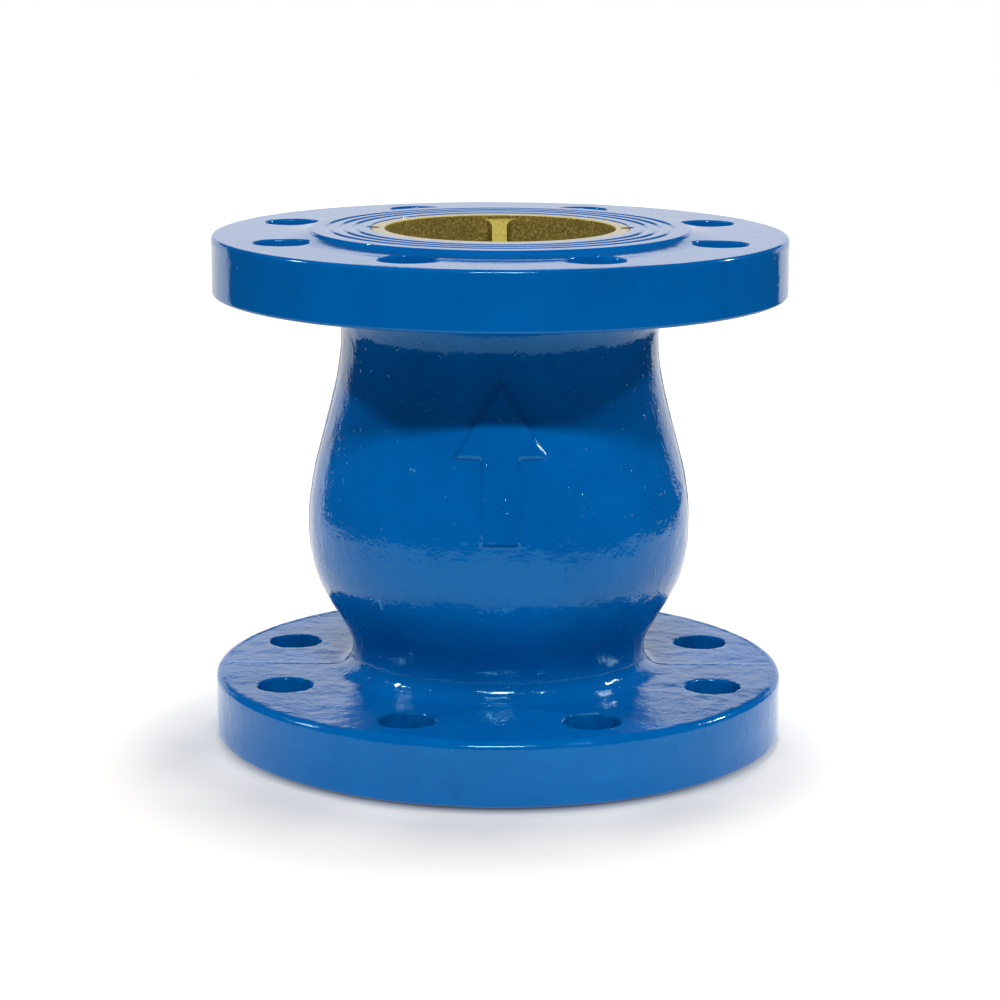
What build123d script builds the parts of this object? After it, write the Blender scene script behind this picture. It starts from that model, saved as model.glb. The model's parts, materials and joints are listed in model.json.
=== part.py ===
from build123d import *

import math
import os

# Double-flanged, spring-loaded axial check valve, DN 80, PN 16, 180 mm face to face.
# Millimetres, +Z along the flow, from the inlet face (Z = 0) to the outlet face.

# Flanges: EN 1092-2, DN 80, PN 16
FACE_TO_FACE = 180.0
FLANGE_R = 100.0
RAISED_FACE_R = 66.0
RAISED_FACE_H = 2.0
INLET_FLANGE_TOP = 24.0
OUTLET_FLANGE_BOTTOM = 157.5
BOLT_CIRCLE_R = 80.0
BOLT_HOLE_R = 9.5
BOLT_COUNT = 8
RIM_EDGE_R = 1.2
CAST_EDGE_R = 2.5

# Sealing face: V grooves, and the dished step round the outlet's raised face
GROOVE_RADII = (50.5, 55.0, 59.8)
GROOVE_HALF = 0.9
GROOVE_DEPTH = 0.6
STEP_DROP = 1.0
STEP_RUN = 0.8
DISH_R = 77.0

# Pear-shaped casing, outside: neck, belly and shoulder
NECK_R = 51.3
NECK_FILLET = 7.0
BELLY_R = 66.6
BELLY_Z = 78.0
SHOULDER_R = 55.0
SHOULDER_FILLET = 14.5
FLANK = ((57.2, 45.0), (63.3, 56.0))
TAPER = ((59.7, 114.0), (55.8, 132.0))
WALL = 7.5

# Casing, inside: bores for the seat ring and the outlet guide, cavity between them
SEAT_BORE_R = 44.5
SEAT_SHOULDER_Z = 34.0
THROAT_R = 42.85
THROAT_TOP = 36.0
CAVITY_START_R = 45.5
CAVITY_START_Z = 39.0
CAVITY_FLANK = (51.0, 49.3)
GUIDE_BORE_R = 45.0
GUIDE_SHOULDER_Z = 162.0
OUTLET_THROAT_R = 43.5
OUTLET_THROAT_Z = 157.0

# Cast marks: flow arrow on the front, parting-line flash at the sides
ARROW_LENGTH = 52.0
ARROW_HEAD = 24.0
ARROW_WIDTH = 30.0
ARROW_SHAFT = 12.0
ARROW_Z = 108.0
ARROW_PROUD = 1.0
FLASH_PROUD = 0.45
FLASH_HALF = 0.7

# Rings: clearance in their bores, inner radii, radial arms and hub
RING_CLEARANCE = 0.08
FACE_RECESS = 0.2
GUIDE_RING_R = 40.0
SEAT_RING_R = 38.5
ARM_COUNT = 3
ARM_WIDTH = 5.3
ARM_WALL_FILLET = 3.0
ARM_HUB_FILLET = 2.0
HUB_R = 9.5
BUSH_R = 7.0
BUSH_LENGTH = 20.0
BUSH_CLEARANCE = 0.05
PRESS_CLEARANCE = 0.02
HUB_BORE_R = 5.8
HUB_MOUTH = 2.0
EDGE_CHAMFER = 0.3

# Lock screws, half in the casing and half in the ring
LOCK_SCREW_R = 2.5
LOCK_SCREW_LENGTH = 9.0
LOCK_RECESS = 0.7
LOCK_SLOT_WIDTH = 0.8
LOCK_SLOT_DEPTH = 1.2
OUTLET_LOCK_X = 44.0
SEAT_LOCK_X = 43.5

# Disc, seal and stem
LIFT = 20.0
STEM_R = 5.0
STEM_BOTTOM = 2.5
STEM_TOP = 148.0
STEM_CHAMFER = 1.0
SEAT_LIP_Z = 38.0
SEAT_LIP_R = 40.5
DISC_R = 43.2
DISC_RIM_DROP = 1.5
DISC_RIM_TOP = 46.0
DISC_RIM_CHAMFER = 1.0
DISC_BOSS_R = 16.0
DISC_BOSS_TOP = 52.0
DISC_BOSS_FOOT_R = 20.0
DISC_BOSS_FOOT_Z = 50.0
SEAL_IN_R = 34.0
SEAL_OUT_R = 42.0
SEAL_THICK = 4.0
RETAINER_R = 37.8
RETAINER_THICK = 3.0
RETAINER_PILOT = 2.0
COLLAR_R = 10.0
COLLAR_THICK = 3.0
SHANK_R = 7.0
SHANK_TOP = 46.0
THREAD_R = 6.0
THREAD_RUNOUT = 1.0
DISC_FIT = 0.04
NUT_FLATS = 18.0
NUT_HEIGHT = 10.8
LOCK_WASHER_R = 10.2
LOCK_WASHER_THICK = 1.5
SCREW_CIRCLE_R = 24.0
SCREW_COUNT = 6
SCREW_R = 2.5
SCREW_FLATS = 8.0
SCREW_HEAD = 3.5
SCREW_HOLE_DEPTH = 10.5
SCREW_LENGTH = 9.5

# Spring and the two washers it bears on
SPRING_R = 13.0
WIRE_R = 1.25
SPRING_TURNS = 8
SPRING_GAP = 0.1
WASHER_IN_R = 10.6
WASHER_OUT_R = 15.5
WASHER_THICK = 2.0
WASHER_CHAMFER = 0.2
SPRING_SEAT_Z = 138.0

# Outlet guide's arms, and the seat ring's arms
GUIDE_ARM_DROP = 1.0
GUIDE_HUB_TOP = 156.0
GUIDE_ARM_FOOT = 2.0
SEAT_HUB_BOTTOM = 9.0
SEAT_HUB_TOP = 31.0
SEAT_ARM_BOTTOM = 7.0
SEAT_ARM_TOP = 27.0

# O-rings
O_RING_R = 1.25
O_GROOVE_HALF = 1.7
O_GROOVE_FLOOR = 0.05
SEAT_O_RING_Z = 20.0
STEM_O_RING_R = 0.8
STEM_O_RING_Z = 43.0

# Heights that follow from the sizes above
RETAINER_BOTTOM = SEAT_LIP_Z - RETAINER_THICK
NUT_BOTTOM = DISC_BOSS_TOP + LOCK_WASHER_THICK
NUT_TOP = NUT_BOTTOM + NUT_HEIGHT
GUIDE_HUB_BOTTOM = NUT_TOP + LIFT
FOLLOWER_TOP = DISC_BOSS_TOP + WASHER_THICK
RAISED_TOP = FACE_TO_FACE - RAISED_FACE_H
LOWER_BUSH_BOTTOM = GUIDE_HUB_BOTTOM + HUB_MOUTH

# How far a cutter runs past the surface that it leaves, and how closely a point's radius is told
PAST = 1.0
CLOSE = 0.1


def tube(outer, inner, bottom, top):
    """Plain ring between two heights."""
    outside = Cylinder(outer, top - bottom, align=(Align.CENTER, Align.CENTER, Align.MIN))
    inside = Cylinder(inner, top - bottom, align=(Align.CENTER, Align.CENTER, Align.MIN))
    return Pos(0, 0, bottom) * (outside - inside)


def rod(radius, bottom, top, x=0.0, y=0.0):
    """Upright round bar between two heights."""
    return Pos(x, y, bottom) * Cylinder(radius, top - bottom, align=(Align.CENTER, Align.CENTER, Align.MIN))


def torus(ring_r, section_r, z):
    return Pos(0, 0, z) * Torus(ring_r, section_r)


def spin(outline):
    """Solid of revolution from a closed outline drawn as (radius, height)."""
    return revolve(Plane.XZ * make_face(outline), Axis.Z)


def turned(points):
    """Solid of revolution from a closed outline of straight lines."""
    return spin(Polyline(*points, close=True))


def hexagon(flats, bottom, top, x=0.0, y=0.0):
    """Upright hexagonal bar, given its width across flats."""
    return Pos(x, y, bottom) * extrude(RegularPolygon(flats / math.sqrt(3), 6), top - bottom)


def casing_skin(grow):
    """Outline of the casing between its flange fillets, pushed outwards by grow."""
    neck = (NECK_R + grow, INLET_FLANGE_TOP + NECK_FILLET)
    belly = (BELLY_R + grow, BELLY_Z)
    shoulder = (SHOULDER_R + grow, OUTLET_FLANGE_BOTTOM - SHOULDER_FILLET)
    flank = [(r + grow, z) for r, z in FLANK]
    taper = [(r + grow, z) for r, z in TAPER]
    upwards = [(0, 1), (0, 1)]
    return Spline(neck, *flank, belly, tangents=upwards), Spline(belly, *taper, shoulder, tangents=upwards)


def casing_outside(grow=0.0):
    """The pear-shaped casing as a solid, with its fillets into both flanges."""
    lower, upper = casing_skin(grow)
    foot_r = NECK_R + NECK_FILLET
    head_r = SHOULDER_R + SHOULDER_FILLET
    foot = TangentArc((foot_r, INLET_FLANGE_TOP + grow), lower @ 0, tangent=(-1, 0))
    head = TangentArc((head_r, OUTLET_FLANGE_BOTTOM - grow), upper @ 1, tangent=(-1, 0))
    closing = Polyline(head @ 0, (head_r, RAISED_TOP), (0, RAISED_TOP), (0, RAISED_FACE_H),
                       (foot_r, RAISED_FACE_H), foot @ 0)
    return spin([foot, lower, upper, head, closing])


def casing_cavity():
    """The hollow of the casing: seat bore, cavity and guide bore."""
    start = (CAVITY_START_R, CAVITY_START_Z)
    belly = (BELLY_R - WALL, BELLY_Z)
    shoulder = (SHOULDER_R - WALL, OUTLET_FLANGE_BOTTOM - SHOULDER_FILLET)
    taper = (TAPER[0][0] - WALL, TAPER[0][1])
    lower = Spline(start, CAVITY_FLANK, belly, tangents=[(1, 1), (0, 1)])
    upper = Spline(belly, taper, shoulder, tangents=[(0, 1), (0, 1)])
    top = Polyline(shoulder, (OUTLET_THROAT_R, OUTLET_THROAT_Z), (OUTLET_THROAT_R, GUIDE_SHOULDER_Z),
                   (GUIDE_BORE_R, GUIDE_SHOULDER_Z), (GUIDE_BORE_R, FACE_TO_FACE),
                   (0, FACE_TO_FACE), (0, 0), (SEAT_BORE_R, 0), (SEAT_BORE_R, SEAT_SHOULDER_Z),
                   (THROAT_R, SEAT_SHOULDER_Z), (THROAT_R, THROAT_TOP), start)
    return spin([lower, upper, top])


def inlet_flange():
    """Lower flange: raised face below, as-cast back face above."""
    disc = rod(FLANGE_R, RAISED_FACE_H, INLET_FLANGE_TOP)
    disc = fillet(disc.edges().filter_by(GeomType.CIRCLE).sort_by(Axis.Z)[-1], CAST_EDGE_R)
    disc = fillet(disc.edges().filter_by(GeomType.CIRCLE).sort_by(Axis.Z)[0], RIM_EDGE_R)
    return disc + rod(RAISED_FACE_R, 0, RAISED_FACE_H)


def outlet_flange():
    """Upper flange, with a dished slope from its plane up to the raised face."""
    disc = rod(FLANGE_R, OUTLET_FLANGE_BOTTOM, RAISED_TOP)
    disc = fillet(disc.edges().filter_by(GeomType.CIRCLE), RIM_EDGE_R)
    foot = (RAISED_FACE_R + STEP_RUN, FACE_TO_FACE - STEP_DROP)
    dish = TangentArc((DISH_R, RAISED_TOP), foot, tangent=(-1, 0))
    side = Polyline(foot, (RAISED_FACE_R, FACE_TO_FACE), (0, FACE_TO_FACE), (0, RAISED_TOP),
                    (DISH_R, RAISED_TOP))
    return disc + spin([dish, side])


def bolt_holes():
    """Eight holes through both flanges, straddling the X and Y axes."""
    hole = rod(BOLT_HOLE_R, -PAST, FACE_TO_FACE + PAST)
    return PolarLocations(BOLT_CIRCLE_R, BOLT_COUNT, start_angle=180 / BOLT_COUNT) * hole


def face_grooves(face_z, outward):
    """Concentric V grooves in one sealing face."""
    floor = face_z - outward * GROOVE_DEPTH
    return [turned([(r - GROOVE_HALF, face_z), (r + GROOVE_HALF, face_z), (r, floor)]) for r in GROOVE_RADII]


def flow_arrow():
    """Raised arrow on the front of the casing, pointing along the flow."""
    low = ARROW_Z - ARROW_LENGTH / 2
    tip = ARROW_Z + ARROW_LENGTH / 2
    neck = tip - ARROW_HEAD
    half = ARROW_SHAFT / 2
    outline = Polyline((-half, low), (half, low), (half, neck), (ARROW_WIDTH / 2, neck), (0, tip),
                       (-ARROW_WIDTH / 2, neck), (-half, neck), close=True)
    prism = extrude(Plane.XZ * make_face(outline), BELLY_R + 2 * ARROW_PROUD)
    return prism & casing_outside(ARROW_PROUD)


def parting_flash():
    """Thin ridge where the two mould halves met, at both sides of the casing."""
    slab = Box(2 * FLANGE_R, 2 * FLASH_HALF, OUTLET_FLANGE_BOTTOM - INLET_FLANGE_TOP,
               align=(Align.CENTER, Align.CENTER, Align.MIN))
    ridge = Pos(0, 0, INLET_FLANGE_TOP) * slab & casing_outside(FLASH_PROUD)
    run = FLANGE_R - CAST_EDGE_R
    strip = Box(2 * run, 2 * FLASH_HALF, FLASH_PROUD, align=(Align.CENTER, Align.CENTER, Align.MIN))
    return ridge + Pos(0, 0, INLET_FLANGE_TOP) * strip


def lock_screw_holes(x, bottom, top):
    """Two holes on the joint line between a ring and the casing."""
    return [rod(LOCK_SCREW_R, bottom, top, side * x) for side in (-1, 1)]


def body():
    shell = inlet_flange() + outlet_flange() + casing_outside() + flow_arrow() + parting_flash()
    shell = shell - casing_cavity() - bolt_holes()
    shell = shell - face_grooves(FACE_TO_FACE, 1) - face_grooves(0, -1)
    depth = LOCK_RECESS + LOCK_SCREW_LENGTH
    shell = shell - lock_screw_holes(OUTLET_LOCK_X, FACE_TO_FACE - depth, FACE_TO_FACE)
    return shell - lock_screw_holes(SEAT_LOCK_X, 0, depth)


def corners_at(plan, radius):
    """The corners of a flat shape that lie on a circle about the axis."""
    return plan.vertices().filter_by(lambda v: abs(math.hypot(v.X, v.Y) - radius) < CLOSE)


def arms(ring_r, envelope):
    """Three filleted radial arms inside a ring, trimmed to a turned envelope."""
    plan = Circle(ring_r + 2 * PAST) - Circle(ring_r) + Circle(HUB_R)
    reach = ring_r + PAST
    bar = Pos(reach / 2, 0) * Rectangle(reach, ARM_WIDTH)
    for number in range(ARM_COUNT):
        plan = plan + Rot(0, 0, 90 + number * 360 / ARM_COUNT) * bar
    plan = fillet(corners_at(plan, ring_r), ARM_WALL_FILLET)
    plan = fillet(corners_at(plan, HUB_R), ARM_HUB_FILLET)
    return extrude(plan, FACE_TO_FACE) & envelope


def outlet_guide():
    """Ring held in the outlet bore; sloping arms carry a long hub that guides the stem."""
    top = FACE_TO_FACE - FACE_RECESS
    outer = GUIDE_BORE_R - RING_CLEARANCE
    ring = tube(outer, GUIDE_RING_R, GUIDE_SHOULDER_Z, top)
    ring = chamfer(ring.edges().group_by(Axis.Z)[-1], EDGE_CHAMFER)
    wall = GUIDE_RING_R + PAST
    envelope = turned([(0, GUIDE_HUB_TOP), (HUB_R, GUIDE_HUB_TOP), (wall, FACE_TO_FACE - GUIDE_ARM_DROP),
                       (wall, GUIDE_SHOULDER_Z + GUIDE_ARM_FOOT), (HUB_R, SPRING_SEAT_Z), (0, SPRING_SEAT_Z)])
    flange = rod(WASHER_OUT_R, SPRING_SEAT_Z, SPRING_SEAT_Z + WASHER_THICK)
    hub = rod(HUB_R, GUIDE_HUB_BOTTOM, GUIDE_HUB_TOP)
    guide = ring + arms(GUIDE_RING_R, envelope) + flange + hub
    guide = guide - rod(HUB_BORE_R, GUIDE_HUB_BOTTOM, GUIDE_HUB_TOP)
    guide = guide - rod(BUSH_R, GUIDE_HUB_TOP - BUSH_LENGTH, GUIDE_HUB_TOP)
    guide = guide - rod(BUSH_R, GUIDE_HUB_BOTTOM, LOWER_BUSH_BOTTOM + BUSH_LENGTH)
    return guide - lock_screw_holes(OUTLET_LOCK_X, top - LOCK_RECESS - LOCK_SCREW_LENGTH, FACE_TO_FACE)


def seat_ring():
    """Ring held in the inlet bore, with the raised seat lip, an O-ring groove and the inlet guide's arms."""
    outer = SEAT_BORE_R - RING_CLEARANCE
    neck_r = THROAT_R - RING_CLEARANCE
    ring = turned([(SEAT_RING_R, FACE_RECESS), (outer, FACE_RECESS), (outer, SEAT_SHOULDER_Z),
                   (neck_r, SEAT_SHOULDER_Z), (neck_r, THROAT_TOP), (SEAT_LIP_R, THROAT_TOP),
                   (SEAT_LIP_R, SEAT_LIP_Z), (SEAT_RING_R, SEAT_LIP_Z)])
    wall = SEAT_RING_R + PAST
    envelope = turned([(0, SEAT_HUB_TOP), (HUB_R, SEAT_HUB_TOP), (wall, SEAT_ARM_TOP),
                       (wall, SEAT_ARM_BOTTOM), (HUB_R, SEAT_HUB_BOTTOM), (0, SEAT_HUB_BOTTOM)])
    groove_r = outer - 2 * O_RING_R - O_GROOVE_FLOOR
    groove = tube(outer + PAST, groove_r, SEAT_O_RING_Z - O_GROOVE_HALF, SEAT_O_RING_Z + O_GROOVE_HALF)
    seat = ring + arms(SEAT_RING_R, envelope) - groove - rod(BUSH_R, SEAT_HUB_BOTTOM, SEAT_HUB_TOP)
    return seat - lock_screw_holes(SEAT_LOCK_X, 0, FACE_RECESS + LOCK_RECESS + LOCK_SCREW_LENGTH)


def bush(bottom, top):
    """Plain bearing pressed into a hub, running on the stem."""
    sleeve = tube(BUSH_R - PRESS_CLEARANCE, STEM_R + BUSH_CLEARANCE, bottom, top)
    return chamfer(sleeve.edges().filter_by(GeomType.CIRCLE), EDGE_CHAMFER)


def lock_screws(x, outer_end, inward):
    """Two slotted grub screws; outer_end is the slotted end's height, inward the direction they go in."""
    screws = []
    for side in (-1, 1):
        low = min(outer_end, outer_end + inward * LOCK_SCREW_LENGTH)
        screw = rod(LOCK_SCREW_R - PRESS_CLEARANCE, low, low + LOCK_SCREW_LENGTH, side * x)
        slot = Box(2 * LOCK_SCREW_R, LOCK_SLOT_WIDTH, 2 * LOCK_SLOT_DEPTH)
        screws.append(screw - Pos(side * x, 0, outer_end) * slot)
    return Compound(children=screws)


def stem():
    """Guided at both ends, with a collar under the disc and a thread above it."""
    shaft = rod(STEM_R, STEM_BOTTOM, STEM_TOP)
    shaft = chamfer(shaft.edges().filter_by(GeomType.CIRCLE), STEM_CHAMFER)
    collar = rod(COLLAR_R, RETAINER_BOTTOM - COLLAR_THICK, RETAINER_BOTTOM)
    shank = rod(SHANK_R, RETAINER_BOTTOM, SHANK_TOP)
    thread = rod(THREAD_R, SHANK_TOP, NUT_TOP + THREAD_RUNOUT)
    groove_r = SHANK_R - 2 * STEM_O_RING_R - O_GROOVE_FLOOR
    half = STEM_O_RING_R + O_GROOVE_FLOOR
    groove = tube(SHANK_R + PAST, groove_r, STEM_O_RING_Z - half, STEM_O_RING_Z + half)
    return shaft + collar + (shank - groove) + thread


def disc():
    """Valve disc: rebate for the seal below, sloping back and a boss above."""
    rim_bottom = SEAT_LIP_Z + DISC_RIM_DROP
    pilot_top = SEAT_LIP_Z + RETAINER_PILOT
    seal_top = SEAT_LIP_Z + SEAL_THICK
    plate = turned([(0, pilot_top), (SEAL_IN_R, pilot_top), (SEAL_IN_R, seal_top), (SEAL_OUT_R, seal_top),
                    (SEAL_OUT_R, rim_bottom), (DISC_R, rim_bottom), (DISC_R, DISC_RIM_TOP - DISC_RIM_CHAMFER),
                    (DISC_R - DISC_RIM_CHAMFER, DISC_RIM_TOP), (DISC_BOSS_FOOT_R, DISC_BOSS_FOOT_Z),
                    (DISC_BOSS_R, DISC_BOSS_TOP), (0, DISC_BOSS_TOP)])
    plate = plate - rod(SHANK_R + DISC_FIT, pilot_top, SHANK_TOP)
    plate = plate - rod(THREAD_R + DISC_FIT, SHANK_TOP, DISC_BOSS_TOP)
    hole = rod(SCREW_R, RETAINER_BOTTOM, RETAINER_BOTTOM + SCREW_HOLE_DEPTH)
    return plate - PolarLocations(SCREW_CIRCLE_R, SCREW_COUNT) * hole


def seal_retainer():
    """Plate that clamps the seal's inner edge, with a pilot inside the seal."""
    pilot_top = SEAT_LIP_Z + RETAINER_PILOT
    plate = rod(RETAINER_R, RETAINER_BOTTOM, SEAT_LIP_Z) + rod(SEAL_IN_R, SEAT_LIP_Z, pilot_top)
    plate = plate - rod(SHANK_R + DISC_FIT, RETAINER_BOTTOM, pilot_top)
    hole = rod(SCREW_R, RETAINER_BOTTOM, pilot_top)
    return plate - PolarLocations(SCREW_CIRCLE_R, SCREW_COUNT) * hole


def retainer_screws():
    """Six hexagon-head screws from below, through the retainer into the disc."""
    screws = []
    for place in PolarLocations(SCREW_CIRCLE_R, SCREW_COUNT):
        head = hexagon(SCREW_FLATS, RETAINER_BOTTOM - SCREW_HEAD, RETAINER_BOTTOM)
        shank = rod(SCREW_R - PRESS_CLEARANCE, RETAINER_BOTTOM, RETAINER_BOTTOM + SCREW_LENGTH)
        screws.append(place * (head + shank))
    return Compound(children=screws)


def stem_nut():
    """Hexagon nut with chamfered corners."""
    nut = hexagon(NUT_FLATS, NUT_BOTTOM, NUT_TOP) - rod(THREAD_R + DISC_FIT, NUT_BOTTOM, NUT_TOP)
    corner = NUT_FLATS / math.sqrt(3)
    flat = NUT_FLATS / 2
    bevel = (corner - flat) / 2
    blank = turned([(0, NUT_BOTTOM), (flat, NUT_BOTTOM), (corner, NUT_BOTTOM + bevel),
                    (corner, NUT_TOP - bevel), (flat, NUT_TOP), (0, NUT_TOP)])
    return nut & blank


def washer(inner, outer, bottom, thick):
    ring = tube(outer, inner, bottom, bottom + thick)
    return chamfer(ring.edges().filter_by(GeomType.CIRCLE), WASHER_CHAMFER)


def spring():
    """Compression spring round the guide hub, between its two washers."""
    bottom = FOLLOWER_TOP + WIRE_R + SPRING_GAP
    height = SPRING_SEAT_Z - WASHER_THICK - WIRE_R - SPRING_GAP - bottom
    line = Helix(height / SPRING_TURNS, height, SPRING_R)
    section = Plane(origin=line @ 0, z_dir=line % 0) * Circle(WIRE_R)
    return Pos(0, 0, bottom) * sweep(section, path=line, is_frenet=True)


def seat_o_ring():
    return torus(SEAT_BORE_R - RING_CLEARANCE - O_RING_R, O_RING_R - O_GROOVE_FLOOR / 2, SEAT_O_RING_Z)


def stem_o_ring():
    return torus(SHANK_R - STEM_O_RING_R, STEM_O_RING_R - O_GROOVE_FLOOR / 2, STEM_O_RING_Z)


PIECES = {
    "body": body(),
    "outlet_guide": outlet_guide(),
    "outlet_lock_screws": lock_screws(OUTLET_LOCK_X, FACE_TO_FACE - LOCK_RECESS, -1),
    "outlet_bush_upper": bush(GUIDE_HUB_TOP - BUSH_LENGTH, GUIDE_HUB_TOP),
    "outlet_bush_lower": bush(LOWER_BUSH_BOTTOM, LOWER_BUSH_BOTTOM + BUSH_LENGTH),
    "seat_ring": seat_ring(),
    "seat_lock_screws": lock_screws(SEAT_LOCK_X, LOCK_RECESS, 1),
    "seat_o_ring": seat_o_ring(),
    "inlet_bush": bush(SEAT_HUB_BOTTOM, SEAT_HUB_TOP),
    "stem": stem(),
    "stem_o_ring": stem_o_ring(),
    "stem_lock_washer": washer(THREAD_R + DISC_FIT, LOCK_WASHER_R, DISC_BOSS_TOP, LOCK_WASHER_THICK),
    "stem_nut": stem_nut(),
    "disc": disc(),
    "disc_seal": tube(SEAL_OUT_R, SEAL_IN_R, SEAT_LIP_Z, SEAT_LIP_Z + SEAL_THICK),
    "seal_retainer": seal_retainer(),
    "retainer_screws": retainer_screws(),
    "spring": spring(),
    "spring_follower": washer(WASHER_IN_R, WASHER_OUT_R, DISC_BOSS_TOP, WASHER_THICK),
    "spring_seat": washer(HUB_R + RING_CLEARANCE, WASHER_OUT_R, SPRING_SEAT_Z - WASHER_THICK, WASHER_THICK),
}

os.makedirs("parts", exist_ok=True)
for name, piece in PIECES.items():
    export_step(piece, f"parts/{name}.step")
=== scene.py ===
import json
import math

import bmesh
import bpy
import numpy as np
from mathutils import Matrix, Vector, noise


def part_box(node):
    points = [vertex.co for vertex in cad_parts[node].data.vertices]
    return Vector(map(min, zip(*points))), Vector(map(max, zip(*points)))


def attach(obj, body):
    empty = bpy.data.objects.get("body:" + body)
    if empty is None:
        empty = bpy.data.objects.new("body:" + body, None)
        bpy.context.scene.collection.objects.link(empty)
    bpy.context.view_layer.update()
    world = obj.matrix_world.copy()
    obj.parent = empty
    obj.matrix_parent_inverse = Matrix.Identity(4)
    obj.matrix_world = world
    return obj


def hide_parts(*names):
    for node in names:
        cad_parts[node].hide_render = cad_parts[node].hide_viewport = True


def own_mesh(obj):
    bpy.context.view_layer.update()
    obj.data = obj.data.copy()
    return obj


# Double-flanged axial check valve, DN 80 PN 16. Sizes below are millimetres; MM turns them into metres.
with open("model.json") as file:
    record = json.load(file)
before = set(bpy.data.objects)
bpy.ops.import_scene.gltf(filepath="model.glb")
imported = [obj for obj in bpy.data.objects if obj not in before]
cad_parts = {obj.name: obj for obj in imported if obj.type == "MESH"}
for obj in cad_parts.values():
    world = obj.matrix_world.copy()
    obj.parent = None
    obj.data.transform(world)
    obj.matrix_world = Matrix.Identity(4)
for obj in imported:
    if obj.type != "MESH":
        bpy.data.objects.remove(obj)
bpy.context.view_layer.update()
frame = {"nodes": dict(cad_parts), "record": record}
MM = 0.001

# Driving sizes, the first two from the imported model
FLANGE_R = min(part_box("body")[1].x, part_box("body")[1].y) / MM
FACE_TO_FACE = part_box("body")[1].z / MM
RAISED_FACE_R = 66.0
INLET_FLANGE = (2.0, 24.0)
OUTLET_FLANGE = (157.5, FACE_TO_FACE - 2.0)
BOLT_CIRCLE_R = 80.0
BOLT_HOLE_R = 9.5
BOLT_COUNT = 8
EDGE_R = 1.2
CAST_EDGE_R = 2.5
LIP_R = 0.4
HOLE_EDGE = 0.7

# Outlet face: groove radii, and the step and dish round the raised face
GROOVES = (50.5, 55.0, 59.8)
GROOVE_HALF = 1.35
GROOVE_DEPTH = 0.42
STEP_CURVE = ((0.25, 0.55), (0.45, 0.80), (0.60, 0.95))
STEP_FOOT = (66.8, FACE_TO_FACE - 1.0)
DISH_R = 77.0

# Casing outside, as (radius, height), and its wall
NECK = (51.3, 31.0)
FLANK = ((57.2, 45.0), (63.3, 56.0))
BELLY = (66.6, 78.0)
TAPER = ((59.7, 114.0), (55.8, 132.0))
SHOULDER = (55.0, 143.0)
FOOT_R = 58.3
HEAD_R = 69.5
WALL = 7.5

# Bores and cavity, as radii, heights or (radius, height)
SEAT_BORE_R = 44.5
SEAT_CHAMFER = 0.5
SEAT_SHOULDER_Z = 34.0
THROAT_R = 42.85
THROAT_TOP = 36.0
CAVITY_START = (45.5, 39.0)
CAVITY_FLANK = (51.0, 49.3)
OUTLET_THROAT = (43.5, 157.0)
GUIDE_SHOULDER_Z = 162.0
GUIDE_BORE_R = 45.0

# Lock screws' notches: radius, depth and distance from the axis at each end
NOTCH_R = 2.5
NOTCH_DEPTH = 9.7
OUTLET_NOTCH_X = 44.0
INLET_NOTCH_X = 43.5

# Flow arrow, skin of the cast surfaces as (wavelength, height), and roughness of the holes' edges
ARROW_LENGTH = 52.0
ARROW_HEAD = 24.0
ARROW_WIDTH = 30.0
ARROW_SHAFT = 12.0
ARROW_Z = 108.0
ARROW_PROUD = 1.4
SKIN = ((31, 0.22), (13, 0.14), (6, 0.09), (3, 0.04))
HOLE_NOISE_MM = 2.4

# Spring
SPRING_R = 13.0
WIRE_R = 1.25
ACTIVE_TURNS = 7.0
DEAD_TURNS = 1.25

# Angles in radians: each bolt hole's sector, and straight in front
SECTOR = 2 * math.pi / BOLT_COUNT
FRONT = 1.5 * math.pi

# Mesh of the flanges' planes: where it starts and ends, and the loop that spaces the holes' points
HOLE_LOOP = (61.0, 97.0)
SIDE_STEPS = 16
RIM_BAND = 2.6
OUTLET_JOINT_R = 68.5
UNDER_JOINT_R = 64.0
OVER_JOINT_R = 60.0
INLET_JOINT_R = 68.5


# Curves

def arc(centre, radius, start, end, steps):
    """Points along a circular arc in the (radius, height) plane, angles in degrees."""
    angles = np.radians(np.linspace(start, end, steps + 1))
    return [(centre[0] + radius * math.cos(a), centre[1] + radius * math.sin(a)) for a in angles]


def line(start, end, step):
    """Points from start to end, about one step apart."""
    start, end = np.array(start), np.array(end)
    count = max(1, round(math.dist(start, end) / step))
    return [tuple(start + (end - start) * i / count) for i in range(count + 1)]


def smooth_curve(points, start_slope, end_slope, step):
    """Cubic spline of radius against height through the points, sampled about one step apart."""
    r, z = np.array(points, float).T
    gap = np.diff(z)
    size = len(z)
    matrix, right = np.eye(size), np.zeros(size)
    right[0], right[-1] = start_slope, end_slope
    for i in range(1, size - 1):
        matrix[i, i - 1:i + 2] = 1 / gap[i - 1], 2 / gap[i - 1] + 2 / gap[i], 1 / gap[i]
        right[i] = 3 * ((r[i] - r[i - 1]) / gap[i - 1] ** 2 + (r[i + 1] - r[i]) / gap[i] ** 2)
    slope = np.linalg.solve(matrix, right)
    heights = np.linspace(z[0], z[-1], round((z[-1] - z[0]) / step) + 1)
    found = []
    for height in heights:
        i = min(int(np.searchsorted(z, height, "right")) - 1, size - 2)
        t = (height - z[i]) / gap[i]
        radius = ((1 + 2 * t) * (1 - t) ** 2 * r[i] + t * (1 - t) ** 2 * gap[i] * slope[i]
                  + t * t * (3 - 2 * t) * r[i + 1] + t * t * (t - 1) * gap[i] * slope[i + 1])
        found.append((radius, height))
    return found


# Mesh parts

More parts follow.
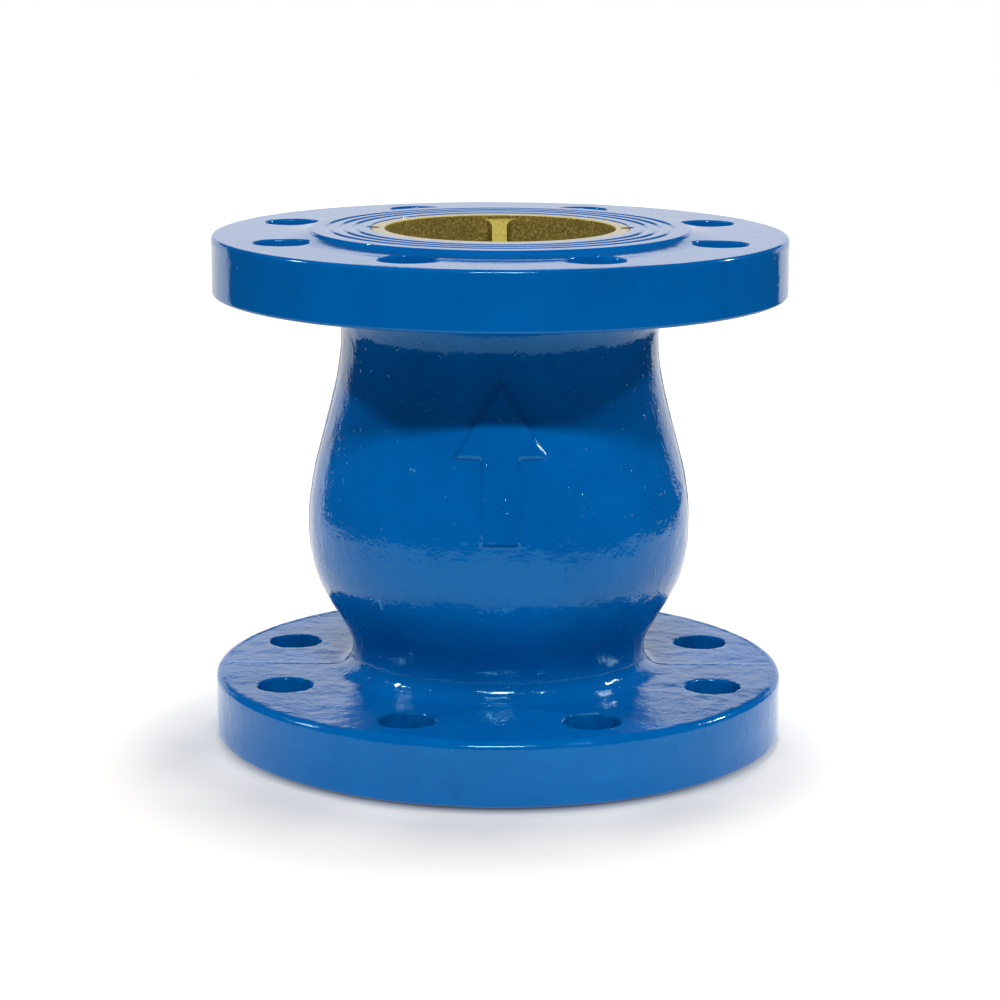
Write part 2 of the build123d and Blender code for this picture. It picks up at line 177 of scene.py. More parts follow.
class Shell:
    """Points and faces of one piece, put together from grids that meet edge to edge."""

    def __init__(self):
        self.points = []
        self.faces = []

    def grid(self, rows):
        """Faces between neighbouring rows of points; every row closes on itself."""
        first, count = len(self.points), len(rows[0])
        for row in rows:
            self.points.extend(row)
        for i in range(len(rows) - 1):
            low, high = first + i * count, first + (i + 1) * count
            for j in range(count):
                k = (j + 1) % count
                self.faces.append((low + j, low + k, high + k, high + j))

    def mesh(self, name):
        """The welded mesh, in metres, with its faces turned outwards."""
        mesh = bpy.data.meshes.new(name)
        mesh.from_pydata([tuple(c * MM for c in p) for p in self.points], [], self.faces)
        bm = bmesh.new()
        bm.from_mesh(mesh)
        bmesh.ops.remove_doubles(bm, verts=bm.verts, dist=1e-6)
        bmesh.ops.recalc_face_normals(bm, faces=bm.faces)
        bm.to_mesh(mesh)
        bm.free()
        return mesh


def turned_rows(profile, columns):
    """A profile of (radius, height) points turned through the given angles."""
    return [[(r * math.cos(a), r * math.sin(a), z) for a in columns] for r, z in profile]


def body_columns():
    """Angles of the casing's columns: close together at the arrow and the flash, wider elsewhere."""
    fine, coarse = math.radians(0.6), math.radians(1.2)
    columns = []
    for sector in range(BOLT_COUNT):
        start, end = sector * SECTOR, (sector + 1) * SECTOR
        angle = start
        while angle < end - 1e-6:
            columns.append(angle)
            middle = angle + fine / 2
            to_front = abs(middle - FRONT)
            to_flash = abs((middle + math.pi / 2) % math.pi - math.pi / 2)
            detailed = to_front < math.radians(17) or to_flash < math.radians(2)
            step = fine if detailed else coarse
            angle += step
            if end - angle < step / 2:
                angle = end
    return columns


def under_height(r):
    """Height of the outlet flange's underside at a radius: plane, then the fillet down to the casing."""
    fillet = HEAD_R - SHOULDER[0]
    return OUTLET_FLANGE[0] - fillet + math.sqrt(fillet ** 2 - max(0.0, HEAD_R - r) ** 2)


def outlet_height(r):
    """Height of the outlet side at a radius: grooved face, rounded step, dished slope, flange plane."""
    plane = OUTLET_FLANGE[1]
    run = DISH_R - STEP_FOOT[0]
    rise = STEP_FOOT[1] - plane
    dish = (run * run + rise * rise) / (2 * rise)
    if r >= DISH_R:
        return plane
    if r >= STEP_FOOT[0]:
        return plane + dish - math.sqrt(dish * dish - (DISH_R - r) ** 2)
    return FACE_TO_FACE - grooves_depth(r)


def grooves_depth(r):
    """Depth of the rounded grooves at a radius."""
    near = [abs(r - groove) for groove in GROOVES if abs(r - groove) < GROOVE_HALF]
    return sum(GROOVE_DEPTH * 0.5 * (1 + math.cos(math.pi * reach / GROOVE_HALF)) for reach in near)


def sector_loop(columns, inner, outer):
    """The outline of one flange sector as (x, y) points: inner arc, side, outer arc, side."""
    path = [(inner, a) for a in columns[:-1]]
    path += [(inner + (outer - inner) * i / SIDE_STEPS, columns[-1]) for i in range(SIDE_STEPS)]
    path += [(outer, a) for a in reversed(columns[1:])]
    path += [(outer + (inner - outer) * i / SIDE_STEPS, columns[0]) for i in range(SIDE_STEPS)]
    return np.array([(r * math.cos(a), r * math.sin(a)) for r, a in path])


def drilled_annulus(shell, columns, inner, height, side, steps):
    """A flange's plane, from a radius out to the rim, with its bolt holes.

    The height is a function of the radius, and side is 1 facing up or -1 facing down.
    Returns each hole's rim, for the hole's wall."""
    rims = []
    rounding = [HOLE_EDGE * (1 - math.cos(t)) for t in np.linspace(0, math.pi / 2, 5)]
    below = [math.sqrt(max(0.0, HOLE_EDGE ** 2 - (HOLE_EDGE - near) ** 2)) for near in rounding]
    drops = [HOLE_EDGE - reach for reach in below] + [0.0] * steps
    for sector in range(BOLT_COUNT):
        start, end = sector * SECTOR, (sector + 1) * SECTOR
        inside = [a for a in columns if start - 1e-6 <= a < end - 1e-6] + [end]
        outline = sector_loop(inside, inner, FLANGE_R - RIM_BAND)
        middle = start + SECTOR / 2
        centre = BOLT_CIRCLE_R * np.array([math.cos(middle), math.sin(middle)])
        aim = sector_loop(inside, *HOLE_LOOP) - centre
        rim = centre + BOLT_HOLE_R * aim / np.linalg.norm(aim, axis=1)[:, None]
        span = outline - rim
        length = np.linalg.norm(span, axis=1)
        rows = [rim + span * (near / length)[:, None] for near in rounding]
        for i in range(1, steps + 1):
            share = HOLE_EDGE / length + (1 - HOLE_EDGE / length) * (i / steps)
            rows.append(rim + span * share[:, None])
        ring = []
        for row, drop in zip(rows, drops):
            ring.append([(x, y, height(math.hypot(x, y)) - side * drop) for x, y in row])
        shell.grid(ring)
        rims.append(ring[0])
    return rims


def hole_walls(shell, upper, lower):
    """The bolt holes' walls between their upper and lower rims."""
    for top, bottom in zip(upper, lower):
        a, b = np.array(top), np.array(bottom)
        shell.grid([[tuple(p) for p in a + (b - a) * t] for t in np.linspace(0, 1, 7)])


def rim_profile(flange, top_r, steps):
    """A flange's rim from its upper plane down to its lower one, with its upper edge's radius."""
    low, high = flange
    inner = FLANGE_R - RIM_BAND
    rim = [(inner, high)] + arc((FLANGE_R - top_r, high - top_r), top_r, 90, 0, steps)
    rim += line((FLANGE_R, high - top_r), (FLANGE_R, low + EDGE_R), 1.6)[1:]
    rim += arc((FLANGE_R - EDGE_R, low + EDGE_R), EDGE_R, 0, -90, 5)[1:]
    return rim + [(inner, low)]


def outlet_profile():
    """From the guide's shoulder up the bore, over the grooved raised face and down its step."""
    top = FACE_TO_FACE - LIP_R
    profile = line((GUIDE_BORE_R, GUIDE_SHOULDER_Z), (GUIDE_BORE_R, top), 3)[:-1]
    profile += arc((GUIDE_BORE_R + LIP_R, top), LIP_R, 180, 90, 3)
    profile += [(r, outlet_height(r)) for r in np.arange(GUIDE_BORE_R + 1, RAISED_FACE_R - 0.4, 0.25)]
    profile += arc((RAISED_FACE_R - 0.3, top), LIP_R, 90, 20, 4)
    profile += [(RAISED_FACE_R + out, FACE_TO_FACE - down) for out, down in STEP_CURVE]
    return profile + [(r, outlet_height(r)) for r in np.linspace(STEP_FOOT[0], OUTLET_JOINT_R, 4)]


def casing_profile():
    """From the outlet flange's underside down the shoulder, belly and neck to the inlet flange."""
    fillet = HEAD_R - SHOULDER[0]
    meet = math.degrees(math.acos((UNDER_JOINT_R - HEAD_R) / fillet))
    profile = arc((HEAD_R, SHOULDER[1]), fillet, meet, 180, 24)
    profile += smooth_curve([BELLY, *TAPER, SHOULDER], 0, 0, 0.75)[::-1][1:]
    profile += smooth_curve([NECK, *FLANK, BELLY], 0, 0, 0.8)[::-1][1:]
    profile += arc((FOOT_R, NECK[1]), FOOT_R - NECK[0], 180, 270, 12)[1:]
    return profile + [(OVER_JOINT_R, INLET_FLANGE[1])]


def inlet_profile():
    """From the inlet flange's plane over its raised face, then up the bores and the cavity."""
    plane = INLET_FLANGE[0]
    foot_r = RAISED_FACE_R + 0.6
    profile = [(INLET_JOINT_R, plane), (foot_r, plane)] + arc((foot_r, plane - 0.6), 0.6, 90, 180, 3)[1:]
    profile += arc((RAISED_FACE_R - LIP_R, LIP_R), LIP_R, 0, -90, 3)
    profile += [(r, grooves_depth(r)) for r in np.arange(RAISED_FACE_R - 1, SEAT_BORE_R + 0.7, -0.3)]
    profile += [(SEAT_BORE_R + SEAT_CHAMFER, 0.0)]
    profile += line((SEAT_BORE_R, SEAT_CHAMFER), (SEAT_BORE_R, SEAT_SHOULDER_Z), 4)
    profile += [(THROAT_R, SEAT_SHOULDER_Z)] + line((THROAT_R, THROAT_TOP), CAVITY_START, 1.5)
    belly, taper, shoulder = [(r - WALL, z) for r, z in (BELLY, TAPER[0], SHOULDER)]
    profile += smooth_curve([CAVITY_START, CAVITY_FLANK, belly], 1.0, 0, 2.0)[1:]
    profile += smooth_curve([belly, taper, shoulder], 0, 0, 2.0)[1:]
    profile += line(shoulder, OUTLET_THROAT, 2)[1:]
    throat_r, throat_z = OUTLET_THROAT
    profile += [(throat_r, (throat_z + GUIDE_SHOULDER_Z) / 2), (throat_r, GUIDE_SHOULDER_Z)]
    return profile + [(GUIDE_BORE_R, GUIDE_SHOULDER_Z)]


def body_shell():
    """The whole casting: faces, rims, casing, flanges, bolt holes, bores and cavity."""
    shell = Shell()
    columns = body_columns()
    profiles = [outlet_profile(), rim_profile(OUTLET_FLANGE, EDGE_R, 5), casing_profile(),
                rim_profile(INLET_FLANGE, CAST_EDGE_R, 8), inlet_profile()]
    for profile in profiles:
        shell.grid(turned_rows(profile, columns))
    top = drilled_annulus(shell, columns, OUTLET_JOINT_R, outlet_height, 1, 16)
    under = drilled_annulus(shell, columns, UNDER_JOINT_R, under_height, -1, 9)
    hole_walls(shell, top, under)
    over = drilled_annulus(shell, columns, OVER_JOINT_R, lambda r: INLET_FLANGE[1], 1, 18)
    below = drilled_annulus(shell, columns, INLET_JOINT_R, lambda r: INLET_FLANGE[0], -1, 8)
    hole_walls(shell, over, below)
    return shell


def smoothstep(low, high, value):
    """0 up to low, 1 from high on, and a smooth rise between them."""
    t = np.clip((value - low) / (high - low), 0, 1)
    return t * t * (3 - 2 * t)


def inside_distance(x, z, outline):
    """Signed distance from points to a closed outline, positive inside."""
    nearest = np.full(len(x), 1e9)
    crossings = np.zeros(len(x), int)
    for (ax, az), (bx, bz) in zip(outline, outline[1:] + outline[:1]):
        dx, dz = bx - ax, bz - az
        t = np.clip(((x - ax) * dx + (z - az) * dz) / (dx * dx + dz * dz), 0, 1)
        nearest = np.minimum(nearest, np.hypot(x - ax - t * dx, z - az - t * dz))
        spans = (az > z) != (bz > z)
        if dz:
            crossings += spans & (x < ax + (z - az) * dx / dz)
    return np.where(crossings % 2 == 1, nearest, -nearest)


def arrow_outline():
    """The flow arrow's outline, as seen from the front."""
    low, tip = ARROW_Z - ARROW_LENGTH / 2, ARROW_Z + ARROW_LENGTH / 2
    neck = tip - ARROW_HEAD
    shaft, wing = ARROW_SHAFT / 2, ARROW_WIDTH / 2
    return [(-shaft, low), (shaft, low), (shaft, neck), (wing, neck), (0, tip),
            (-wing, neck), (-shaft, neck)]


def fractal(points, wavelength, seed):
    """Smooth noise, from about -1 to 1, over points in millimetres."""
    shift = Vector((17.3 * seed, -9.1 * seed, 4.7 * seed))
    scale = 1 / wavelength
    return np.array([noise.noise(Vector(p) * scale + shift) for p in points])


def read_points(mesh):
    """The mesh's points, in millimetres, and the directions they face."""
    count = len(mesh.vertices)
    co, normal = np.empty(count * 3), np.empty(count * 3)
    mesh.vertices.foreach_get("co", co)
    mesh.vertex_normals.foreach_get("vector", normal)
    return co.reshape(-1, 3) / MM, normal.reshape(-1, 3)


def shape_casting(mesh):
    """Raises the arrow and the flash, and makes the cast surfaces and the holes' edges uneven."""
    co, normal = read_points(mesh)
    x, y, z = co.T
    r = np.hypot(x, y)
    between = (z > INLET_FLANGE[1] - 0.1) & (z < OUTLET_FLANGE[0] + 0.1) & (r > NECK[0] - 0.5)
    cavity = (r < BELLY[0] - 6) & (z > THROAT_TOP + 0.5) & (z < GUIDE_SHOULDER_Z - 1) & ~between
    rims = r > FLANGE_R - RIM_BAND - 0.1
    cast = np.where(between | cavity, 1.0, 0.0)
    cast = np.where(rims, np.where(z < FACE_TO_FACE / 2, 0.7, 0.2), cast)

    rise = np.zeros(len(co))
    front = between & (y < 0)
    arrow = inside_distance(x[front], z[front], arrow_outline())
    rise[front] += ARROW_PROUD * smoothstep(-0.8, 0.6, arrow)
    flash = between & ~rims
    proud = np.where(z < INLET_FLANGE[1] + 1, 0.15, 0.4)
    rise += np.where(flash, proud * (1 - smoothstep(0.1, 1.1, np.abs(y))), 0)
    rise -= np.where(flash & (y > 0), 0.2 * smoothstep(0.0, 1.4, y), 0)
    skin = sum(height * fractal(co, wave, seed) for seed, (wave, height) in enumerate(SKIN, 1))
    rise += cast * skin

    co += normal * rise[:, None]
    roughen_holes(co, z)
    co[:, 2] = np.clip(co[:, 2], 0, FACE_TO_FACE)
    reach = np.hypot(co[:, 0], co[:, 1])
    co[:, :2] *= np.minimum(1, FLANGE_R / np.maximum(reach, 1e-9))[:, None]
    mesh.vertices.foreach_set("co", (co * MM).ravel())
    skin_mask = mesh.attributes.new("cast_skin", "FLOAT", "POINT")
    skin_mask.data.foreach_set("value", cast.astype(np.float32))
    mesh.update()


def roughen_holes(co, z):
    """Makes the bolt holes' edges uneven, more so in the lower flange."""
    for hole in range(BOLT_COUNT):
        angle = (hole + 0.5) * SECTOR
        centre = BOLT_CIRCLE_R * np.array([math.cos(angle), math.sin(angle)])
        offset = co[:, :2] - centre
        reach = np.hypot(*offset.T)
        near = np.where(reach < BOLT_HOLE_R + HOLE_EDGE + 0.05)[0]
        size = np.where(z[near] < FACE_TO_FACE / 2, 0.5, 0.2)
        share = size * fractal(co[near], HOLE_NOISE_MM, 7) / reach[near]
        co[near, :2] += offset[near] * share[:, None]


def new_object(mesh):
    """The mesh as an object in the scene."""
    thing = bpy.data.objects.new(mesh.name, mesh)
    bpy.context.scene.collection.objects.link(thing)
    return thing


def pin(x, radius, low, high, steps=48):
    """An upright round cutter."""
    shell = Shell()
    angles = np.linspace(0, 2 * math.pi, steps, endpoint=False)
    ring = [(x + radius * math.cos(a), radius * math.sin(a)) for a in angles]
    shell.grid([[(px, py, z) for px, py in ring] for z in (low, high)])
    shell.faces.append(tuple(range(steps))[::-1])
    shell.faces.append(tuple(range(steps, 2 * steps)))
    return new_object(shell.mesh("pin"))


def cut(thing, cutters):
    """Takes the cutters out of a piece and removes them."""
    for cutter in cutters:
        change = thing.modifiers.new("cut", "BOOLEAN")
        change.object = cutter
        change.operation = "DIFFERENCE"
        change.solver = "EXACT"
    bpy.context.view_layer.update()
    seen = thing.evaluated_get(bpy.context.evaluated_depsgraph_get())
    mesh = bpy.data.meshes.new_from_object(seen)
    thing.modifiers.clear()
    thing.data = mesh
    for cutter in cutters:
        bpy.data.objects.remove(cutter)


def shade(thing, sharp_above):
    """Smooth shading with edges sharp above an angle in degrees."""
    thing.data.shade_smooth()
    thing.data.set_sharp_from_angle(angle=math.radians(sharp_above))


def make_body():
    """The blue casting with its lock screws' notches."""
    mesh = body_shell().mesh("casting")
    shape_casting(mesh)
    body = new_object(mesh)
    bottom = FACE_TO_FACE - NOTCH_DEPTH
    notches = [pin(side * OUTLET_NOTCH_X, NOTCH_R, bottom, FACE_TO_FACE + 1) for side in (-1, 1)]
    notches += [pin(side * INLET_NOTCH_X, NOTCH_R, -1, NOTCH_DEPTH) for side in (-1, 1)]
    cut(body, notches)
    shade(body, 40)
    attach(body, "casing")
    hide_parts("body")
    return body


def spring_rise(turn, height):
    """Rise of the wire's centre along the coil: closed turns at both ends and open ones between."""
    start = 0.75 * WIRE_R
    closed = 1.9 * WIRE_R
    free = (height - 4 * WIRE_R) / ACTIVE_TURNS
    end = ACTIVE_TURNS + DEAD_TURNS
    opening = smoothstep(DEAD_TURNS - 0.3, DEAD_TURNS + 0.5, turn)
    closing = smoothstep(end - 0.5, end + 0.3, turn)
    rise = start + np.cumsum(np.gradient(turn) * (closed + (free - closed) * opening * (1 - closing)))
    return rise * (height - start) / rise[-1]


def make_spring():
    """Compression spring with closed, ground ends."""
    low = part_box("spring_follower")[1].z / MM
    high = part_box("spring_seat")[0].z / MM
    samples, around = 900, 18
    turn = np.linspace(0, ACTIVE_TURNS + 2 * DEAD_TURNS, samples)
    across, along = SPRING_R * np.cos(2 * math.pi * turn), SPRING_R * np.sin(2 * math.pi * turn)
    centre = np.stack([across, along, low + spring_rise(turn, high - low)], 1)
    tangent = np.gradient(centre, axis=0)
    tangent /= np.linalg.norm(tangent, axis=1)[:, None]
    outward = centre * [1, 1, 0] / SPRING_R
    upward = np.cross(outward, tangent)
    angles = np.linspace(0, 2 * math.pi, around, endpoint=False)
    shell = Shell()
    rows = []
    for c, out, up in zip(centre, outward, upward):
        row = c + WIRE_R * (np.cos(angles)[:, None] * out + np.sin(angles)[:, None] * up)
        row[:, 2] = np.clip(row[:, 2], low + 0.02, high - 0.02)
        rows.append([tuple(p) for p in row])
    shell.grid(rows)
    shell.faces.append(tuple(range(around))[::-1])
    shell.faces.append(tuple(len(shell.points) - around + i for i in range(around)))
    spring = new_object(shell.mesh("coil_spring"))
    shade(spring, 50)
    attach(spring, "casing")
    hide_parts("spring")
    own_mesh(spring)
    return spring


# Materials

class Paint:
    """A material with one Principled shader, and short calls that add nodes to it."""

    def __init__(self, name, **sockets):
        self.material = bpy.data.materials.new(name)
        self.material.use_nodes = True
        self.tree = self.material.node_tree
        self.shader = self.tree.nodes["Principled BSDF"]
        for socket, value in sockets.items():
            self.shader.inputs[socket.replace("_", " ")].default_value = value
        self.place = self.tree.nodes.new("ShaderNodeTexCoord").outputs["Object"]

    def link(self, output, target):
        """Joins two sockets."""
        self.tree.links.new(output, target)

    def node(self, kind, **inputs):
        """A new node with its inputs linked or set; an underscore stands for a space."""
        made = self.tree.nodes.new(kind)
        for socket, value in inputs.items():
            target = made.inputs[socket.replace("_", " ")]
            if isinstance(value, bpy.types.NodeSocket):
                self.link(value, target)
            else:
                target.default_value = value
        return made

    def noise(self, wavelength_mm, detail=2.0, rough=0.5):
        """Noise in the piece's own space."""
        made = self.node("ShaderNodeTexNoise", Vector=self.place, Scale=1 / (wavelength_mm * MM),
                         Detail=detail, Roughness=rough)
        return made.outputs["Fac"]

    def math(self, operation, a, b=0.0):
        """A sum over one or two values or sockets."""
        made = self.tree.nodes.new("ShaderNodeMath")
        made.operation = operation
        for socket, value in zip(made.inputs, (a, b)):
            if isinstance(value, bpy.types.NodeSocket):
                self.link(value, socket)
            else:
                socket.default_value = value
        return made.outputs[0]

    def remap(self, value, low, high, to_low, to_high):
        """A value carried from one range to another and held at its ends."""
        made = self.node("ShaderNodeMapRange", Value=value, From_Min=low, From_Max=high,
                         To_Min=to_low, To_Max=to_high)
        return made.outputs["Result"]

    def ramp(self, value, *stops):
        """A colour that changes with a value, from stops of (place, colour)."""
        made = self.tree.nodes.new("ShaderNodeValToRGB")
        self.link(value, made.inputs["Fac"])
        while len(made.color_ramp.elements) < len(stops):
            made.color_ramp.elements.new(0.5)
        for element, (at, colour) in zip(made.color_ramp.elements, stops):
            element.position = at
            element.color = (*colour, 1)
        return made.outputs["Color"]

    def bump(self, height, depth_mm, under=None):
        """A normal roughened by a height, on top of another one if given."""
        made = self.node("ShaderNodeBump", Height=height, Distance=depth_mm * MM)
        if under:
            self.link(under, made.inputs["Normal"])
        return made.outputs["Normal"]

    def attribute(self, name):
        """A value stored on the mesh."""
        made = self.tree.nodes.new("ShaderNodeAttribute")
        made.attribute_name = name
        return made.outputs["Fac"]

    def finish(self, **links):
        """Links the shader's inputs and returns the material."""
        for socket, output in links.items():
            self.link(output, self.shader.inputs[socket.replace("_", " ")])
        return self.material


def blue_coating():
    """Thick glossy blue epoxy over cast iron: orange peel, grains and slight shade changes."""
    paint = Paint("blue_coating", IOR=1.5, Specular_Tint=(0.32, 0.80, 1.0, 1.0))
    cast = paint.attribute("cast_skin")
    cloud = paint.noise(38.0, 8.0, 0.72)
    colour = paint.ramp(cloud, (0.3, (0.000, 0.074, 0.262)), (0.7, (0.000, 0.097, 0.335)))
    rough = paint.remap(paint.noise(9.0, 3.0), 0.3, 0.7, 0.05, 0.10)
    fine = paint.math("MULTIPLY", paint.noise(1.2, 2.0), paint.remap(cast, 0, 1, 0.10, 1))
    peel = paint.math("MULTIPLY", paint.noise(5.0, 3.0, 0.6), paint.remap(cast, 0, 1, 0.15, 1))
    specks = paint.remap(paint.noise(2.0, 0.0), 0.78, 0.84, 0, 1)
    specks = paint.math("MULTIPLY", specks, cast)
    normal = paint.bump(fine, 0.065, paint.bump(peel, 0.26, paint.bump(specks, 0.15)))
    return paint.finish(Base_Color=colour, Roughness=rough, Normal=normal)


def mixed(paint, factor, low, high):
    """One colour or the other, by a factor; either may be a socket."""
    mix = paint.tree.nodes.new("ShaderNodeMix")
    mix.data_type = "RGBA"
    paint.link(factor, mix.inputs["Factor"])
    for socket, colour in (("A", low), ("B", high)):
        if isinstance(colour, bpy.types.NodeSocket):
            paint.link(colour, mix.inputs[socket])
        else:
            mix.inputs[socket].default_value = (*colour, 1)
    return mix.outputs["Result"]


def cast_brass():
    """Sand-cast brass: dark and grainy on walls, pale where it is faced off, with painted light making
    slopes that face upwards brighter.
    """
    paint = Paint("cast_brass", Metallic=0.5)
    facing = paint.tree.nodes.new("ShaderNodeTexCoord").outputs["Normal"]
    split = paint.node("ShaderNodeSeparateXYZ", Vector=facing)
    # Painted light: surfaces that face partly upwards get a brighter copy of the wall's grainy colour,
    # as if lit from above.
    painted_light_slopes = paint.remap(split.outputs["Z"], 0.35, 0.6, 0, 1)
    faced = paint.remap(split.outputs["Z"], 0.97, 0.995, 0, 1)
    grain = paint.noise(0.8, 4.0, 0.7)
    wall = paint.ramp(grain, (0.30, (0.090, 0.062, 0.008)), (0.50, (0.19, 0.135, 0.018)),
                      (0.72, (0.46, 0.38, 0.10)))
    # Painted light: the brighter copy of the grain colour for the upward-facing slopes.
    slope = paint.ramp(grain, (0.3, (0.36, 0.28, 0.035)), (0.7, (0.62, 0.52, 0.13)))
    colour = mixed(paint, faced, mixed(paint, painted_light_slopes, wall, slope), (0.66, 0.61, 0.47))
    rough = paint.remap(faced, 0, 1, 0.6, 0.35)
    height = paint.math("MULTIPLY", grain, paint.remap(faced, 0, 1, 1, 0.03))
    normal = paint.bump(height, 0.25)
    return paint.finish(Base_Color=colour, Roughness=rough, Normal=normal)


def turned_metal(name, dark, light, rough_low, rough_high):
    """Machined metal with fine turning marks round the axis."""
    paint = Paint(name, Metallic=1.0)
    split = paint.node("ShaderNodeSeparateXYZ", Vector=paint.place)
    squares = [paint.math("MULTIPLY", split.outputs[way], split.outputs[way]) for way in ("X", "Y")]
    reach = paint.math("SQRT", paint.math("ADD", *squares))
    marks_at = paint.node("ShaderNodeCombineXYZ", X=reach, Y=split.outputs["Z"], Z=0.0)
    marks = paint.node("ShaderNodeTexNoise", Vector=marks_at.outputs["Vector"], Scale=6000.0, Detail=1.0)
    cloud = paint.noise(12.0, 3.0)
    colour = paint.ramp(cloud, (0.3, dark), (0.7, light))
    rough = paint.remap(marks.outputs["Fac"], 0.3, 0.7, rough_low, rough_high)
    normal = paint.bump(marks.outputs["Fac"], 0.006)
    return paint.finish(Base_Color=colour, Roughness=rough, Normal=normal)


def soft_plastic(name, dark, light, rough):
    """Moulded rubber or polymer with a faint grain."""
    paint = Paint(name, Roughness=rough)
    cloud = paint.noise(3.0, 4.0)
    colour = paint.ramp(cloud, (0.3, dark), (0.7, light))
    normal = paint.bump(paint.noise(0.35, 2.0), 0.02)
    return paint.finish(Base_Color=colour, Normal=normal)


def dress(thing, material):
    """Gives a piece one material in place of any others."""
    thing.data.materials.clear()
    thing.data.materials.append(material)


def dress_all(body, spring):
    """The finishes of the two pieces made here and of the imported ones, by their material slots."""
    dress(body, blue_coating())
    dress(spring, turned_metal("spring_steel", (0.34, 0.34, 0.33), (0.52, 0.52, 0.50), 0.28, 0.42))
    finishes = {
        "cast_brass": cast_brass(),
        "turned_brass": turned_metal("turned_brass", (0.55, 0.42, 0.20), (0.70, 0.56, 0.30), 0.25, 0.40),
        "stainless": turned_metal("stainless", (0.42, 0.42, 0.41), (0.62, 0.62, 0.60), 0.22, 0.38),
        "black_rubber": soft_plastic("black_rubber", (0.012, 0.012, 0.012), (0.030, 0.030, 0.030), 0.6),
        "bush_polymer": soft_plastic("bush_polymer", (0.20, 0.15, 0.09), (0.30, 0.24, 0.15), 0.5),
    }
    for part in frame["record"]["subparts"]:
        if part["material_slot"] in finishes:
            dress(frame["nodes"][part["node"]], finishes[part["material_slot"]])


# Stage, in metres

FLOOR_REACH = 0.465
FLOOR_CORNERS = [(2.7, 3.2, 0), (-3.2, 3.2, 0)]

# The floor's edges behind the valve, as (distance, azimuth in degrees)
RIGHT_EDGE = ((0.50, 127), (0.68, 147.7), (0.765, 150), (0.90, 140.5))
LEFT_EDGE = ((0.51, -120), (0.69, -127.5), (0.915, -129))


def make_camera():
    """Just above the valve, in front of it, looking slightly down."""
    data = bpy.data.cameras.new("camera")
    data.sensor_width = 36.0
    data.lens = 2.9686 * data.sensor_width
    data.shift_x = 0.0222
    data.shift_y = -0.0589
    data.clip_start = 0.01
    camera = bpy.data.objects.new("camera", data)
    bpy.context.scene.collection.objects.link(camera)
    camera.location = (-0.0082, -1.0246, 0.2996)
    camera.rotation_euler = (math.pi / 2 - 0.1882, -0.0036, 0.0)
    bpy.context.scene.camera = camera


def floor_outline():
    """Round in front and at the sides, wider behind."""
    outline = polar(FLOOR_REACH, np.linspace(-105, 105, 43))
    outline += [p for at in RIGHT_EDGE for p in polar(*at)]
    outline += FLOOR_CORNERS
    return outline + [p for at in reversed(LEFT_EDGE) for p in polar(*at)]


def make_floor():
    """White sheet that glows, though hardly under the valve.

    What the camera sees of the glow grows with distance. What the valve reflects of it is less straight
    behind the valve, and what lights the valve is even."""
    outline = floor_outline()
    mesh = bpy.data.meshes.new("floor")
    mesh.from_pydata(outline, [], [tuple(range(len(outline)))])
    floor = new_object(mesh)
    paint = Paint("floor", Base_Color=(0.82, 0.77, 0.70, 1), Roughness=0.9, Specular_IOR_Level=0.0,
                  Emission_Color=(1, 1, 1, 1))
    path = paint.tree.nodes.new("ShaderNodeLightPath").outputs
    length = paint.node("ShaderNodeVectorMath", Vector=paint.place)
    length.operation = "LENGTH"
    away = length.outputs["Value"]
    split = paint.node("ShaderNodeSeparateXYZ", Vector=paint.place)
    behind = paint.math("DIVIDE", split.outputs["Y"], away)
    seen = paint.math("MULTIPLY", path["Is Camera Ray"], paint.remap(away, 0.15, 1.2, 0.62, 1.0))
    sheen = paint.math("MULTIPLY", path["Is Glossy Ray"], paint.remap(behind, 0.70, 0.95, 0.78, 0.60))
    fill = paint.math("MULTIPLY", path["Is Diffuse Ray"], 1.25)
    glow = paint.math("ADD", paint.math("ADD", seen, sheen), fill)
    clear = paint.remap(away, 0.094, 0.101, 0.1, 1.0)
    dress(floor, paint.finish(Emission_Strength=paint.math("MULTIPLY", glow, clear)))
    return floor


def polar(reach, azimuths):
    """Floor points at a distance from the axis; azimuth 0 is in front, positive to the right."""
    angles = np.radians(np.atleast_1d(azimuths))
    return [(reach * math.sin(a), -reach * math.cos(a), 0) for a in angles]


def link_floor(light, floor, state):
    """Limits a light to the floor (INCLUDE) or keeps it off the floor (EXCLUDE)."""
    group = bpy.data.collections.new(light.name + "_reach")
    group.objects.link(floor)
    group.collection_objects[0].light_linking.link_state = state
    light.light_linking.receiver_collection = group


def area_light(name, azimuth, elevation, distance, size, power, glints=True):
    """A rectangular light aimed at the valve, placed by its azimuth, elevation and distance."""
    data = bpy.data.lights.new(name, "AREA")
    data.shape = "RECTANGLE"
    data.size, data.size_y = size
    data.energy = power
    light = bpy.data.objects.new(name, data)
    bpy.context.scene.collection.objects.link(light)
    side, up = math.radians(azimuth), math.radians(elevation)
    middle = Vector((0, 0, 0.09))
    aim = Vector((math.sin(side) * math.cos(up), -math.cos(side) * math.cos(up), math.sin(up)))
    light.location = middle + distance * aim
    light.rotation_euler = (-aim).to_track_quat("-Z", "Y").to_euler()
    light.visible_glossy = glints
    return light


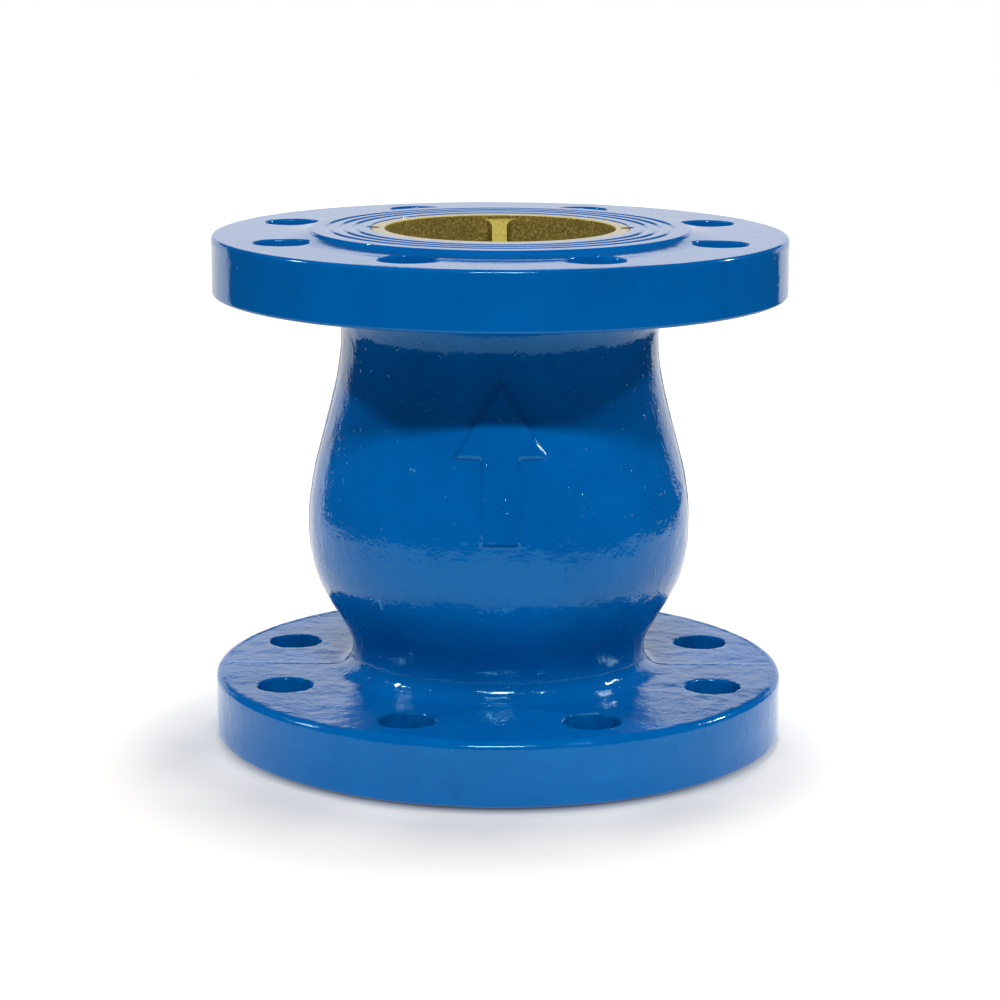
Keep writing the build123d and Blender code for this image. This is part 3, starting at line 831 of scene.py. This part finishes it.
def make_lights(floor):
    """Lamps for the valve alone, a wide one for the floor's soft shadow, the card and the room."""
    lamps = [
        area_light("key", 0, 42, 1.45, (0.50, 0.05), 19),
        area_light("side_left", -95, 35, 1.4, (0.08, 0.08), 8),
        area_light("side_right", 105, 28, 1.4, (0.08, 0.08), 8),
        area_light("front_glint", 38, 40, 1.4, (0.04, 0.04), 1.5),
        area_light("overhead", 180, 84, 1.3, (0.9, 0.9), 4, glints=False),
        area_light("back_left", -142, 20, 1.4, (0.4, 0.4), 7, glints=False),
        area_light("back_right", 142, 20, 1.4, (0.4, 0.4), 7, glints=False),
    ]
    make_card()
    for lamp in lamps:
        link_floor(lamp, floor, "EXCLUDE")
    floor_light = area_light("floor_light", 160, 81.5, 1.3, (0.22, 0.38), 10.5, glints=False)
    link_floor(floor_light, floor, "INCLUDE")
    make_world()


def make_card():
    """Low white card behind the valve, seen only in its reflections."""
    half, behind, low, high = 1.4, 1.37, 0.002, 0.53
    corners = [(-half, behind, low), (half, behind, low), (half, behind, high), (-half, behind, high)]
    mesh = bpy.data.meshes.new("card")
    mesh.from_pydata(corners, [], [(0, 1, 2, 3)])
    card = new_object(mesh)
    card.visible_camera = False
    card.visible_shadow = False
    paint = Paint("card", Base_Color=(0, 0, 0, 1), Emission_Color=(1, 1, 1, 1), Emission_Strength=0.95,
                  Specular_IOR_Level=0.0)
    dress(card, paint.material)


def make_world():
    """White to the camera and a dark room for all other rays."""
    world = bpy.data.worlds.new("studio")
    bpy.context.scene.world = world
    world.use_nodes = True
    tree = world.node_tree
    tree.nodes.clear()
    shades = []
    for level in (0.015, 1.0):
        shade_of_room = tree.nodes.new("ShaderNodeBackground")
        shade_of_room.inputs["Color"].default_value = (level, level, level, 1)
        shades.append(shade_of_room.outputs[0])
    pick = tree.nodes.new("ShaderNodeMixShader")
    path = tree.nodes.new("ShaderNodeLightPath")
    out = tree.nodes.new("ShaderNodeOutputWorld")
    tree.links.new(path.outputs["Is Camera Ray"], pick.inputs[0])
    for shade_of_room, target in zip(shades, pick.inputs[1:]):
        tree.links.new(shade_of_room, target)
    tree.links.new(pick.outputs[0], out.inputs["Surface"])


bpy.context.scene.view_settings.view_transform = "Standard"
make_camera()
make_lights(make_floor())
dress_all(make_body(), make_spring())
